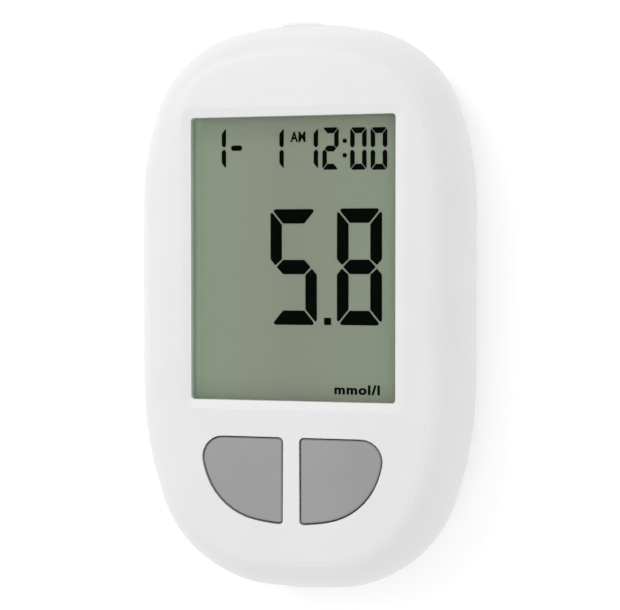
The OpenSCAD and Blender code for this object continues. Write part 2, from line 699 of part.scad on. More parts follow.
// =====================================================================
// strip port
// =====================================================================
module slot(y) {
  block([-strip_w / 2, strip_w / 2], y, [strip_z - strip_h / 2, strip_z + strip_h / 2]);
}
module strip_connector() color("black") difference() {
  block([-connector_x, connector_x], connector_y, [connector_floor, board_z]);
  slot([connector_y[0] + connector_back, connector_y[1] + over]);
  for (x = contact_x)
    block([x - contact_w / 2 - fit_gap, x + contact_w / 2 + fit_gap],
      [connector_y[0] - over, connector_y[0] + connector_back + over], [blade_z[0] - fit_gap, blade_z[1]]);
}
contact_pitch = 1.6;
contact_x = [-contact_pitch, 0, contact_pitch];
contact_w = 0.6;
blade_t = 0.2;
blade_z = [strip_z + strip_h / 2 - blade_t, strip_z + strip_h / 2];
blade_tail = 1.2;
module strip_contacts() color("gold") for (x = contact_x) {
  block([x - contact_w / 2, x + contact_w / 2],
    [connector_y[0] - blade_tail, connector_y[1] - connector_back], blade_z);
  block([x - contact_w / 2, x + contact_w / 2],
    [connector_y[0] - blade_tail, connector_y[0] - blade_tail + blade_t], [blade_z[0], board_z]);
}
module strip_port_guide() color("white") difference() {
  union() {
    translate([0, 0, nose_z[0]]) linear_extrude(nose_z[1] - nose_z[0]) polygon([
      [-nose_half, guide_back], [nose_half, guide_back], [nose_half, nose_y - nose_step],
      [nose_half - nose_ramp, nose_y], [-nose_half + nose_ramp, nose_y], [-nose_half, nose_y - nose_step]
    ]);
    block([-nose_half - guide_flange, nose_half + guide_flange], [guide_back, guide_back + guide_flange_t],
      [connector_floor, nose_z[1]]);
  }
  slot([guide_back - over, nose_y + over]);
}

// =====================================================================
// cells and contacts
// =====================================================================
cap_r = 1.9;
cap_h = 0.8;
cell_edge = 0.5;
// a cell along +Y with its cap at y = 0 and its flat end at y = -cell_len
module cell() color("slategray") rotate([90, 0, 0]) rotate_extrude() polygon([
  [0, 0], [cap_r, 0], [cap_r, cap_h], [cell_d / 2 - cell_edge, cap_h], [cell_d / 2, cap_h + cell_edge],
  [cell_d / 2, cell_len - cell_edge], [cell_d / 2 - cell_edge, cell_len], [0, cell_len]
]);
module battery_left() translate([-cell_x, bay_y[1] - contact_t, cell_z]) cell();
module battery_right() translate([cell_x, bay_y[0] + contact_t, cell_z]) rotate([0, 0, 180]) cell();

contact_z = [door_t + 2 * bay_slack, bay_top - fit_gap];
contact_half = 4.2;
module terminal_plates() color("silver") both_sides() {
  block([cell_x - contact_half, cell_x + contact_half], [bay_y[1] - contact_t, bay_y[1]], contact_z);
  block([cell_x - tab_half, cell_x + tab_half], [bay_y[1] - contact_t, bay_y[1]], [contact_z[0], board_z]);
}
module bridge_plate() color("silver")
  block([-cell_x - contact_half, cell_x + contact_half], [bay_y[0], bay_y[0] + contact_t], contact_z);

spring_wire = 0.45;
spring_turns = 3.5;
spring_rings = 8;
spring_sides = 6;
spring_foot_r = 3.6;
spring_head_r = 2;
// centre line of the conical spring, from its wide foot at y = 0 to its narrow head
function spring_point(k, n) =
  let(t = k / n, a = 360 * spring_turns * t, r = spring_foot_r + (spring_head_r - spring_foot_r) * t)
  [r * cos(a), spring_wire / 2 + (spring_len - spring_wire) * t, r * sin(a)];
function ring_at(p, along) =
  let(u = unit(along), side = unit(cross(u, [0, 1, 0])), up = cross(side, u))
  [for (k = [0 : spring_sides - 1]) let(a = 360 * k / spring_sides)
    p + spring_wire / 2 * (cos(a) * side + sin(a) * up)];
// least distance between the wire and itself, measured between points more than half a turn apart
function spring_gap(centre) = min([for (j = [0 : len(centre) - 1], k = [0 : len(centre) - 1])
  if (k - j > spring_rings / 2) norm(centre[k] - centre[j])]) - spring_wire;
spring_line = [for (k = [0 : spring_turns * spring_rings]) spring_point(k, spring_turns * spring_rings)];
echo(least_gap_between_spring_turns = spring_gap(spring_line));
module spring() {
  n = len(spring_line) - 1;
  rings = [for (k = [0 : n]) ring_at(spring_line[k], spring_line[min(k + 1, n)] - spring_line[max(k - 1, 0)])];
  m = spring_sides;
  sides = [for (j = [0 : n - 1], k = [0 : m - 1]) let(q = (k + 1) % m)
    each [[j * m + k, j * m + q, (j + 1) * m + k], [j * m + q, (j + 1) * m + q, (j + 1) * m + k]]];
  ends = [[for (k = [m - 1 : -1 : 0]) k], [for (k = [0 : m - 1]) n * m + k]];
  polyhedron([for (ring = rings) each ring], concat(sides, ends));
}
module battery_springs() color("silver") {
  translate([-cell_x, bay_y[0] + contact_t, cell_z]) spring();
  translate([cell_x, bay_y[1] - contact_t, cell_z]) rotate([0, 0, 180]) spring();
}

front_housing();
rear_housing();
battery_door();
display_window();
front_polariser();
lcd_front_glass();
lcd_rear_glass();
rear_polariser();
lcd_holder();
elastomer_strip();
main_board();
microcontroller();
analog_chip();
crystal();
chip_capacitors();
buzzer();
left_button();
right_button();
left_switch();
right_switch();
left_plunger();
right_plunger();
strip_connector();
strip_contacts();
strip_port_guide();
battery_left();
battery_right();
terminal_plates();
bridge_plate();
battery_springs();
housing_screws();
board_screws();
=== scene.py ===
# %% [markdown]
# # Blood glucose meter: dressing the solids for a studio picture
# The meter is already drawn as solids, to size. This script loads those solids as a fixed frame, gives
# every piece the finish of the real one, adds the thin things that solids leave out, such as the
# figures of the display, and sets up a floor, soft light and a camera. The solids could be imported
# file by file, but one call brings them all, each at its place and under its name. All lengths in the
# scene are metres. Sizes that a maker would take with a caliper are written in millimetres and
# multiplied by MM.

# %% Load the solids
import math

import bmesh
import bpy
from mathutils import Matrix, Vector


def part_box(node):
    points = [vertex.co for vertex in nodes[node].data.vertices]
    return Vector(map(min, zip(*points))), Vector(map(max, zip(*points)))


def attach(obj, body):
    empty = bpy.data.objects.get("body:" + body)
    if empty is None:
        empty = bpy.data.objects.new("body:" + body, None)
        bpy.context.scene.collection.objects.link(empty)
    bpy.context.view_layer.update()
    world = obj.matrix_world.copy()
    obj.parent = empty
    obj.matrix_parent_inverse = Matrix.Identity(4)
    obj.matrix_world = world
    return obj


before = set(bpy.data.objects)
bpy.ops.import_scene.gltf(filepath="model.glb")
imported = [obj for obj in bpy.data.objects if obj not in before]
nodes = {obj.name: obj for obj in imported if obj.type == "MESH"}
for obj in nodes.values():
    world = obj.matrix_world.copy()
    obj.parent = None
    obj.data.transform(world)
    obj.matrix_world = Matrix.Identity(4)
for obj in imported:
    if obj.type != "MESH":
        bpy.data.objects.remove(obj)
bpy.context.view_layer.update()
MM = 0.001
print("pieces loaded:", len(nodes))

# %% [markdown]
# # Colours and shader nodes
# Colours are easiest to read off as hex values of a screen. A render works in linear light, so one
# function turns the one into the other. A material is a small net of nodes. It could be wired by hand
# in the shader editor, or with a function for each kind of node. One function for every kind is shorter
# to read: it adds a node, sets its properties, and joins its sockets to other nodes or gives them a
# value. A socket is named, or numbered where several share a name, and a colour ramp also gets its
# stops.


# %% Helpers for materials
def linear(hex_colour):
    """A screen colour such as #9a9a9a as linear red, green, blue and alpha."""
    shares = [int(hex_colour[i:i + 2], 16) / 255 for i in (1, 3, 5)]
    return tuple(s / 12.92 if s <= 0.04045 else ((s + 0.055) / 1.055) ** 2.4 for s in shares) + (1.0,)


def add(tree, kind, sockets=None, stops=(), **settings):
    """Adds one node. sockets maps a socket's name or number to a value or to another node's output, and
    stops holds pairs of a place on a colour ramp and the linear colour there."""
    new = tree.nodes.new(kind)
    for name, value in settings.items():
        setattr(new, name, value)
    for name, value in (sockets or {}).items():
        if isinstance(value, bpy.types.NodeSocket):
            tree.links.new(value, new.inputs[name])
        else:
            new.inputs[name].default_value = value
    while stops and len(new.color_ramp.elements) < len(stops):
        new.color_ramp.elements.new(0.5)
    for number, (place, colour) in enumerate(stops):
        new.color_ramp.elements[number].position = place
        new.color_ramp.elements[number].color = colour
    return new


def material(name):
    """An empty material and its net."""
    made = bpy.data.materials.new(name)
    made.use_nodes = True
    made.node_tree.nodes.clear()
    return made, made.node_tree


print("a mid grey screen colour in linear light:", round(linear("#808080")[0], 3))

# %% [markdown]
# # Moulded plastic
# The shells of such a meter are white ABS, injection moulded in a steel mould whose faces were eroded
# by sparks. That leaves a satin grain of about 0.15 mm, which the eye sees as softness and not as dots.
# The grain could come from a picture of it, but noise stays sharp at any distance and has no seam. So
# two noises do it: the fine one drives a very shallow bump, and a wide cloud changes roughness a
# little, as hands do. The same cloud takes the colour down by about one percent in places, because
# moulded plastic is never quite even. White plastic also lets light in by about a millimetre, so that
# its edges look soft. The scale of a noise is how many of its grains fit in a metre, so it is one over
# the grain's size.

# %% A moulded plastic
PLASTIC_IOR = 1.53
# How wide a cloud is, and how far light reaches into white plastic, in mm
CLOUD = 14.0
SCATTER_REACH = 0.9


def moulded(name, colour, shade, roughness, grain=0.15, depth=0.006, scatter=0.0):
    """A moulded plastic: its colour, a slightly deeper shade, its roughness, the size and depth of its
    grain in mm, and the share of light that goes in and comes out again."""
    made, tree = material(name)
    place = add(tree, "ShaderNodeTexCoord").outputs["Object"]
    fine = add(tree, "ShaderNodeTexNoise", {"Vector": place, "Scale": 1 / (grain * MM), "Detail": 2.0})
    wide = add(tree, "ShaderNodeTexNoise", {"Vector": place, "Scale": 1 / (CLOUD * MM), "Detail": 3.0})
    tint = add(tree, "ShaderNodeValToRGB", {"Fac": wide.outputs["Fac"]},
               stops=[(0.35, linear(shade)), (0.65, linear(colour))])
    rough = add(tree, "ShaderNodeMapRange", {
        "Value": wide.outputs["Fac"], "From Min": 0.3, "From Max": 0.7,
        "To Min": roughness - 0.03, "To Max": roughness + 0.04})
    bump = add(tree, "ShaderNodeBump", {
        "Height": fine.outputs["Fac"], "Strength": 0.35, "Distance": depth * MM})
    surface = add(tree, "ShaderNodeBsdfPrincipled", {
        "Base Color": tint.outputs["Color"], "Roughness": rough.outputs[0], "IOR": PLASTIC_IOR,
        "Subsurface Weight": scatter, "Subsurface Radius": (1.0, 1.0, 1.0),
        "Subsurface Scale": SCATTER_REACH * MM, "Normal": bump.outputs["Normal"]})
    add(tree, "ShaderNodeOutputMaterial", {"Surface": surface.outputs[0]})
    return made


white_abs = moulded("white_abs_spark_eroded", "#dcdcdc", "#dadada", 0.42, scatter=0.35)
print("made", white_abs.name)

# %% [markdown]
# # The other plastics
# The lip of the strip port is white ABS too. Its colour is a little lighter than the shell's: painted
# light, since the lip lies lower than the face and in its shade. The keys are grey ABS with a finer grain,
# which makes them drier to the eye and to the finger. The holder of the display is ABS without dye, which
# is ivory. Connector, buzzer and plungers are black PBT, which stands the heat of soldering. A net for
# each would say the same things over, so they are the same function with other values.

# %% Lip, keys, holder and black parts
# The lip's lighter white is painted light against the shade it lies in
lip_abs_painted_light = moulded("white_abs_port_lip_painted_light", "#ebebeb", "#e9e9e9", 0.42, scatter=0.35)
grey_abs = moulded("grey_abs_keys", "#919191", "#8d8d8d", 0.45, grain=0.12, depth=0.008)
ivory_abs = moulded("natural_abs_holder", "#dcd8cb", "#d5d0c2", 0.5)
black_pbt = moulded("black_pbt_matt", "#1d1d1f", "#161617", 0.55, grain=0.1)
print("made", [plastic.name for plastic in (lip_abs_painted_light, grey_abs, ivory_abs, black_pbt)])

# %% [markdown]
# # Clear acrylic, the window
# The window over the display is injected acrylic, polished by the mould, so it has almost no grain. It
# could be a glass shader, but that bends light and makes the film behind it noisy and dark. The window
# is flat and lies close on the film, so nothing behind it would look bent. It is therefore a clear
# layer that mirrors as acrylic does: four parts in a hundred head on, and more and more at a glancing
# look. A faint noise in its roughness stands for the wipe marks of every window.

# %% Acrylic window
# How wide a wipe mark is, in mm, then the share of light mirrored head on and how steeply it rises
WIPE_MARKS = 9.0
MIRROR_HEAD_ON = 0.04
MIRROR_RISE = 5.0


def clear_acrylic():
    """A clear layer that mirrors more at a glancing look."""
    made, tree = material("clear_acrylic_polished")
    place = add(tree, "ShaderNodeTexCoord").outputs["Object"]
    wiped = add(tree, "ShaderNodeTexNoise", {
        "Vector": place, "Scale": 1 / (WIPE_MARKS * MM), "Detail": 4.0, "Distortion": 0.6})
    rough = add(tree, "ShaderNodeMapRange", {
        "Value": wiped.outputs["Fac"], "From Min": 0.35, "From Max": 0.75,
        "To Min": 0.015, "To Max": 0.05})
    clear = add(tree, "ShaderNodeBsdfTransparent", {"Color": linear("#f7faf7")})
    mirror = add(tree, "ShaderNodeBsdfGlossy", {"Roughness": rough.outputs[0]})
    glance = add(tree, "ShaderNodeLayerWeight", {"Blend": 0.5}).outputs["Facing"]
    steep = add(tree, "ShaderNodeMath", {0: glance, 1: MIRROR_RISE}, operation="POWER")
    share = add(tree, "ShaderNodeMapRange", {
        "Value": steep.outputs[0], "To Min": MIRROR_HEAD_ON, "To Max": 1.0})
    both = add(tree, "ShaderNodeMixShader", {
        0: share.outputs[0], 1: clear.outputs[0], 2: mirror.outputs[0]})
    add(tree, "ShaderNodeOutputMaterial", {"Surface": both.outputs[0]})
    return made


acrylic = clear_acrylic()
print("made", acrylic.name)

# %% [markdown]
# # The display film
# A reflective liquid crystal display looks grey-green because its films pass green best. The film on
# top of the glass is what the eye sees between the figures. It is matt, so that it doesn't mirror the
# room. Its colour carries painted light and shade. There is painted light down its left side, where the
# clear window above would pipe light, painted shade a little below the top, and a painted highlight along
# the top edge. This could be lit with a lamp inside the window, but the light of so thin a gap is slow and
# noisy to render. Two ramps, one across and one along, paint it from the piece's own coordinates instead,
# and their colours are multiplied.

# %% Grey-green film
# Where the ramps start and end, and the size of the film's grain, in mm
FILM_X = (-18.2, 16.9)
FILM_Y = (-15.0, 32.0)
FILM_GRAIN = 0.12
# The film's grey-green across the display, with painted light along its left edge
TONE_AND_PAINTED_LIGHT_ACROSS = [(0.0, "#f2fdec"), (0.04, "#d5e6d0"), (0.06, "#bfcdb6"), (0.08, "#b9c2ae"), (0.11, "#b2baa7"),
          (0.21, "#b3b5a6"), (0.32, "#b5b2a6"), (0.5, "#b0afa3"), (0.83, "#b1b3a4"), (1.0, "#b2b7a8")]
# Painted light and shade along the display: a little lighter at the lower edge, painted shade below the
# top, and a painted highlight along the top edge
PAINTED_LIGHT_AND_SHADE_ALONG = [(0.0, "#eaeaea"), (0.03, "#e1e1e1"), (0.88, "#e0e0e0"), (0.93, "#d9d9d9"), (0.953, "#e4e4e4"),
         (0.965, "#f0f0f0"), (0.975, "#ffffff")]


def display_film():
    """A matt grey-green film, with painted light and shade across and along the display."""
    made, tree = material("display_film_grey_green_painted_light")
    place = add(tree, "ShaderNodeTexCoord").outputs["Object"]
    axes = add(tree, "ShaderNodeSeparateXYZ", {"Vector": place})
    ramps = []
    for axis, (start, end), tones in (("X", FILM_X, TONE_AND_PAINTED_LIGHT_ACROSS), ("Y", FILM_Y, PAINTED_LIGHT_AND_SHADE_ALONG)):
        share = add(tree, "ShaderNodeMapRange", {
            "Value": axes.outputs[axis], "From Min": start * MM, "From Max": end * MM})
        ramps.append(add(tree, "ShaderNodeValToRGB", {"Fac": share.outputs[0]},
                         stops=[(at, linear(tone)) for at, tone in tones]))
    across, along = ramps
    tone_with_painted_light = add(tree, "ShaderNodeMix", {0: 1.0, 6: across.outputs["Color"], 7: along.outputs["Color"]},
                data_type="RGBA", blend_type="MULTIPLY")
    haze = add(tree, "ShaderNodeTexNoise", {
        "Vector": place, "Scale": 1 / (FILM_GRAIN * MM), "Detail": 1.0})
    grain = add(tree, "ShaderNodeBump", {
        "Height": haze.outputs["Fac"], "Strength": 0.2, "Distance": 0.004 * MM})
    surface = add(tree, "ShaderNodeBsdfPrincipled", {
        "Base Color": tone_with_painted_light.outputs[2], "Roughness": 0.6, "IOR": 1.48, "Normal": grain.outputs["Normal"]})
    add(tree, "ShaderNodeOutputMaterial", {"Surface": surface.outputs[0]})
    return made


film = display_film()
print("made", film.name, "with", len(TONE_AND_PAINTED_LIGHT_ACROSS), "tones across and", len(PAINTED_LIGHT_AND_SHADE_ALONG), "along")

# %% [markdown]
# # Dark liquid crystal
# Where the display is switched on, its crystal no longer turns the light, the films stop it, and a
# figure looks black with a trace of green. It could be painted into the film's colour, but figures are
# easier to place as thin plates with a finish of their own, and their edges stay sharp. They lie under
# the window, which does the mirroring, so this finish has none of its own. A faint haze keeps the black
# from being one number.

# %% Dark liquid crystal
# The size of the haze, in mm
CRYSTAL_HAZE = 0.3


def dark_crystal():
    """Near black, without any mirror of its own."""
    made, tree = material("liquid_crystal_dark")
    place = add(tree, "ShaderNodeTexCoord").outputs["Object"]
    haze = add(tree, "ShaderNodeTexNoise", {
        "Vector": place, "Scale": 1 / (CRYSTAL_HAZE * MM), "Detail": 2.0})
    tone = add(tree, "ShaderNodeValToRGB", {"Fac": haze.outputs["Fac"]},
               stops=[(0.3, linear("#010401")), (0.7, linear("#020602"))])
    surface = add(tree, "ShaderNodeBsdfPrincipled", {
        "Base Color": tone.outputs["Color"], "Roughness": 0.7, "Specular IOR Level": 0.0})
    add(tree, "ShaderNodeOutputMaterial", {"Surface": surface.outputs[0]})
    return made


figure_black = dark_crystal()
print("made", figure_black.name)

# %% [markdown]
# # The glasses behind the film
# Both glasses of the display are soda-lime sheets, ground flat. They are hidden in use, and seen when
# the meter is taken apart. The electrodes on them are almost clear and show as faint lines. The sheets
# could be solid glass with true refraction, but between two films that would only turn dark. A half
# clear surface with a wave for the lines is enough. The wave node repeats every 2 pi / 20 of its own
# unit, so its scale is that length over the real distance between two lines.

# %% Display glass
WAVE = 2 * math.pi / 20
# Between two lines, in mm
ELECTRODE_LINES = 1.885


def display_glass():
    """A half clear sheet with faint lines."""
    made, tree = material("soda_lime_display_glass")
    place = add(tree, "ShaderNodeTexCoord").outputs["Object"]
    lines = add(tree, "ShaderNodeTexWave", {
        "Vector": place, "Scale": WAVE / (ELECTRODE_LINES * MM), "Distortion": 1.5}, bands_direction="X")
    tint = add(tree, "ShaderNodeValToRGB", {"Fac": lines.outputs["Fac"]},
               stops=[(0.0, linear("#c9d6cd")), (0.9, linear("#cfdbd2")), (1.0, linear("#b9c8bf"))])
    surface = add(tree, "ShaderNodeBsdfPrincipled", {
        "Base Color": tint.outputs["Color"], "Roughness": 0.06, "IOR": 1.52, "Alpha": 0.45})
    add(tree, "ShaderNodeOutputMaterial", {"Surface": surface.outputs[0]})
    return made


glass = display_glass()
print("made", glass.name)

# %% [markdown]
# # Metals
# The plates are nickel-plated spring steel, stamped from rolled strip, so they carry fine lines along
# the strip. The screws are zinc plated, the blades of the strip connector gold plated. The lines could
# be the shader's own anisotropy, which needs a tangent on every face. A noise that is drawn out along
# one axis shows them on any mesh. A metal keeps the shader's own IOR and takes its look from its
# colour, and from how rough it is.


# %% Plated metals
def plated(name, colour, roughness, line=0.08, stretch=30):
    """A plated metal with rolled or turned lines, line mm apart and stretch times as long, along Y."""
    made, tree = material(name)
    place = add(tree, "ShaderNodeTexCoord").outputs["Object"]
    drawn = add(tree, "ShaderNodeMapping", {"Vector": place, "Scale": (1.0, 1.0 / stretch, 1.0)})
    lines = add(tree, "ShaderNodeTexNoise", {
        "Vector": drawn.outputs[0], "Scale": 1 / (line * MM), "Detail": 3.0})
    rough = add(tree, "ShaderNodeMapRange", {
        "Value": lines.outputs["Fac"], "From Min": 0.3, "From Max": 0.7,
        "To Min": roughness * 0.8, "To Max": roughness * 1.25})
    bump = add(tree, "ShaderNodeBump", {
        "Height": lines.outputs["Fac"], "Strength": 0.15, "Distance": 0.004 * MM})
    surface = add(tree, "ShaderNodeBsdfPrincipled", {
        "Base Color": linear(colour), "Metallic": 1.0, "Roughness": rough.outputs[0],
        "Normal": bump.outputs["Normal"]})
    add(tree, "ShaderNodeOutputMaterial", {"Surface": surface.outputs[0]})
    return made


nickel = plated("nickel_plated_strip", "#c9c6bf", 0.28)
spring_nickel = plated("nickel_plated_wire", "#cfccc6", 0.22, line=0.05)
zinc = plated("zinc_plated_screw", "#c3c6c9", 0.34, line=0.05, stretch=4)
gold = plated("gold_plated_contact", "#e6c07a", 0.25, line=0.04)
can_steel = plated("rolled_steel_can", "#d0cfca", 0.3, line=0.06)
tin = plated("tinned_leads", "#bdbdba", 0.38, line=0.05, stretch=2)
print("made", [metal.name for metal in (nickel, spring_nickel, zinc, gold, can_steel, tin)])

# %% [markdown]
# # Circuit board
# A board is glass cloth in epoxy under a green lacquer. Copper tracks lie under the lacquer and show as
# a lighter green, slightly raised. Real tracks could be drawn one by one as thin solids, but the board
# is seen only when the meter is open. Long bricks look like a run of straight tracks, with the mortar
# as the gap between two of them, and the same pattern drives the bump. A fine noise stands for the
# cloth.

# %% Green board
# A track's length, the distance from track to track and the gap between them, in mm
TRACK_LENGTH, TRACK_PITCH, TRACK_GAP = 7.2, 0.85, 0.12
# The mesh of the glass cloth and the height of a track, in mm
CLOTH, TRACK_RISE = 0.5, 0.03


def green_board():
    """Green lacquer over raised tracks."""
    made, tree = material("solder_mask_on_glass_epoxy")
    place = add(tree, "ShaderNodeTexCoord").outputs["Object"]
    tracks = add(tree, "ShaderNodeTexBrick", {
        "Vector": place, "Scale": 1.0, "Mortar Size": TRACK_GAP * MM, "Brick Width": TRACK_LENGTH * MM,
        "Row Height": TRACK_PITCH * MM,
        "Color1": linear("#1f6f45"), "Color2": linear("#1a6540"), "Mortar": linear("#12502f")})
    cloth = add(tree, "ShaderNodeTexNoise", {"Vector": place, "Scale": 1 / (CLOTH * MM), "Detail": 2.0})
    tint = add(tree, "ShaderNodeMix", {
        0: cloth.outputs["Fac"], 6: tracks.outputs["Color"], 7: linear("#1c6a42")}, data_type="RGBA")
    bump = add(tree, "ShaderNodeBump", {
        "Height": tracks.outputs["Fac"], "Strength": 0.5, "Distance": TRACK_RISE * MM}, invert=True)
    surface = add(tree, "ShaderNodeBsdfPrincipled", {
        "Base Color": tint.outputs[2], "Roughness": 0.32, "IOR": 1.5, "Normal": bump.outputs["Normal"]})
    add(tree, "ShaderNodeOutputMaterial", {"Surface": surface.outputs[0]})
    return made


board_green = green_board()
print("made", board_green.name)

# %% [markdown]
# # Chips and capacitors
# The body of a chip is black epoxy filled with ground silica, matt and faintly speckled, and a chip
# capacitor is a small block of fired ceramic. They could have nets of their own, but both are matt and
# finely grained, as moulded plastic is, so its net fits them with a finer grain and other colours.

# %% Epoxy and ceramic
epoxy_black = moulded("silica_filled_epoxy", "#232325", "#1b1b1d", 0.6, grain=0.08)
ceramic = moulded("fired_ceramic_capacitor", "#a58a63", "#9c8059", 0.55, grain=0.1)
print("made", epoxy_black.name, "and", ceramic.name)

# %% [markdown]
# # Layered rubber strip
# No wire joins the display to the board. A strip of silicone rubber is pressed between them, in fine
# layers, a conducting one and a plain one in turn, and so it conducts straight down only. It could be
# modelled as a stack of slices, but bands of a wave look the same on a piece so small. The real layers
# are thinner than a hair, and they are drawn 0.28 mm apart so that they show.

# %% Layered rubber strip
# From one conducting layer to the next, in mm
LAYERS = 0.2827


def layered_silicone():
    """Rubber in dark and pink layers, one after another along X."""
    made, tree = material("layered_silicone_strip")
    place = add(tree, "ShaderNodeTexCoord").outputs["Object"]
    layers = add(tree, "ShaderNodeTexWave", {
        "Vector": place, "Scale": WAVE / (LAYERS * MM), "Distortion": 0.1}, bands_direction="X")
    tint = add(tree, "ShaderNodeValToRGB", {"Fac": layers.outputs["Fac"]},
               stops=[(0.4, linear("#3a3436")), (0.6, linear("#d58fa3"))])
    surface = add(tree, "ShaderNodeBsdfPrincipled", {
        "Base Color": tint.outputs["Color"], "Roughness": 0.62, "IOR": 1.41})
    add(tree, "ShaderNodeOutputMaterial", {"Surface": surface.outputs[0]})
    return made


silicone = layered_silicone()
print("made", silicone.name)

# %% [markdown]
# # The cell's jacket
# A dry cell wears a foil jacket, shrunk on hot, glossy with a metallic lacquer. This one is plain: a
# slate blue body and a pale band next to its positive end, with no lettering. The band could be a
# second finish on its own ring of faces, but the cell's mesh has no edge there. The material therefore
# asks how far along the cell a point lies, and two comparisons, multiplied, are one inside the band and
# nought outside it.

# %% Foil jacket
# How far from the positive end the band starts and ends, and how wide a crease of the foil is, in mm
BAND_START, BAND_END = 2.0, 12.0
CREASE = 3.0


def foil_jacket(name, band_low, band_high):
    """A cell's jacket whose pale band lies between two places along Y, in mm."""
    made, tree = material(name)
    place = add(tree, "ShaderNodeTexCoord").outputs["Object"]
    along = add(tree, "ShaderNodeSeparateXYZ", {"Vector": place}).outputs["Y"]
    above = add(tree, "ShaderNodeMath", {0: along, 1: band_low * MM}, operation="GREATER_THAN")
    below = add(tree, "ShaderNodeMath", {0: along, 1: band_high * MM}, operation="LESS_THAN")
    band = add(tree, "ShaderNodeMath", {0: above.outputs[0], 1: below.outputs[0]}, operation="MULTIPLY")
    creases = add(tree, "ShaderNodeTexNoise", {
        "Vector": place, "Scale": 1 / (CREASE * MM), "Detail": 3.0})
    tint = add(tree, "ShaderNodeMix", {0: band.outputs[0], 6: linear("#56707f"), 7: linear("#c9d0d2")},
               data_type="RGBA")
    bump = add(tree, "ShaderNodeBump", {
        "Height": creases.outputs["Fac"], "Strength": 0.15, "Distance": 0.05 * MM})
    surface = add(tree, "ShaderNodeBsdfPrincipled", {
        "Base Color": tint.outputs[2], "Metallic": 0.55, "Roughness": 0.3, "Coat Weight": 0.4,
        "Normal": bump.outputs["Normal"]})
    add(tree, "ShaderNodeOutputMaterial", {"Surface": surface.outputs[0]})
    return made


print("band of a cell, mm wide:", BAND_END - BAND_START)

# %% [markdown]
# # Smooth faces with crisp edges
# The solids arrive as loose triangles. Their meshes could be merged and bevelled, but they are the
# frame of the whole model and are never touched. Three modifiers on top make them look moulded: Weld
# joins the loose corners, Edge Split parts the surface again where two faces meet at more than a set
# angle, and Weighted Normal lets the large flat faces keep their flat shading. The finish then goes
# into the piece's slots.

# %% Put a finish on a node
WELD_REACH = 0.002 * MM
# From how many degrees on an edge stays crisp, on most pieces and on round wire
CRISP_EDGE = 32.0
CRISP_WIRE = 60.0


def dress(name, *finishes, sharp=CRISP_EDGE, choose=None, flat=None):
    """Gives a node its finishes. choose(middle, normal) picks a finish's number for each face, in mm, and
    flat(middle, normal) says which faces are shaded flat, so that even their blunt edges show."""
    piece = nodes[name]
    piece.data.materials.clear()
    for finish in finishes:
        piece.data.materials.append(finish)
    for face in piece.data.polygons:
        face.use_smooth = not (flat and flat(face.center / MM, face.normal))
        face.material_index = choose(face.center / MM, face.normal) if choose else 0
    piece.modifiers.new("weld", "WELD").merge_threshold = WELD_REACH
    split = piece.modifiers.new("crisp_edges", "EDGE_SPLIT")
    split.split_angle = math.radians(sharp)
    piece.modifiers.new("flat_faces", "WEIGHTED_NORMAL").keep_sharp = True
    return piece


print("edges stay crisp from", CRISP_EDGE, "degrees")

# %% [markdown]
# # The slope round the window
# A shallow slope leads from the face down to the window. It leans so little that smooth shading would
# melt it into the face. A smaller angle for crisp edges would show it, but would also break the rolled
# sides into strips. So only the faces of the slope, found by their height and lean, are shaded flat.

# %% Front shell
FACE_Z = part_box("front_housing")[1].z / MM
BEZEL_DEPTH = 0.35
# The upward part of a normal, on the steepest slope that counts and on a face that is level
STEEPEST_BEZEL = math.cos(math.radians(20))
LEVEL = 0.99
# Two places closer than this, in mm, are one
NEAR = 0.01


def on_bezel(at, normal):
    """The shallow slope round the window: just under the face, and leaning by less than 20 degrees."""
    return FACE_Z - BEZEL_DEPTH <= at.z < FACE_Z - NEAR and STEEPEST_BEZEL < normal.z < LEVEL


shell_faces = dress("front_housing", white_abs, flat=on_bezel).data.polygons
print("faces shaded flat:", sum(not face.use_smooth for face in shell_faces), "of", len(shell_faces))

# %% [markdown]
# # A finish for every other piece
# Most pieces of the meter are of one material all over, so a list says which finish goes on which
# pieces. It could be a call for each piece, but a list is easier to check against a meter that lies
# open on the bench. Only the springs need another angle: a wire is round, and a coarse mesh of it would
# show its strips.

# %% One finish each
FINISHES = [
    (white_abs, ["rear_housing", "battery_door"]),
    (lip_abs_painted_light, ["strip_port_guide"]),
    (grey_abs, ["left_button", "right_button"]),
    (acrylic, ["display_window"]),
    (film, ["front_polariser", "rear_polariser"]),
    (glass, ["lcd_front_glass", "lcd_rear_glass"]),
    (ivory_abs, ["lcd_holder"]),
    (silicone, ["elastomer_strip"]),
    (board_green, ["main_board"]),
    (ceramic, ["chip_capacitors"]),
    (can_steel, ["crystal", "left_switch", "right_switch"]),
    (black_pbt, ["buzzer", "left_plunger", "right_plunger", "strip_connector"]),
    (gold, ["strip_contacts"]),
    (nickel, ["terminal_plates", "bridge_plate"]),
    (zinc, ["housing_screws", "board_screws"])]
for finish, names in FINISHES:
    for name in names:
        dress(name, finish)
dress("battery_springs", spring_nickel, sharp=CRISP_WIRE)
print("pieces in the list:", sum(len(names) for finish, names in FINISHES))

# %% [markdown]
# # Two finishes on one piece
# A chip's body is epoxy and its leads are tinned. A cell is jacket in the middle and steel at its ends.
# Each could be cut into two pieces, but a piece may have several material slots. Each face of the node
# is asked where it lies, and takes the finish of that place.

# %% Chips and cells
# How far leads stand out from a chip, a cell's radius, and how far inside it a face is bare steel, in mm
LEAD_REACH = 0.95
CELL_R, STEEL_INSET = 5.2, 0.8
# The part of a face's normal that runs along the cell, from which on the face counts as one of its ends
FACING_ALONG = 0.7


def chip_leads(name, inset_x, inset_y):
    """Faces outside the chip's body, which is smaller than the piece by the insets in mm, are leads."""
    low, high = (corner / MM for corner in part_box(name))
    return lambda at, normal: int(not (low.x + inset_x <= at.x <= high.x - inset_x
                                       and low.y + inset_y <= at.y <= high.y - inset_y))


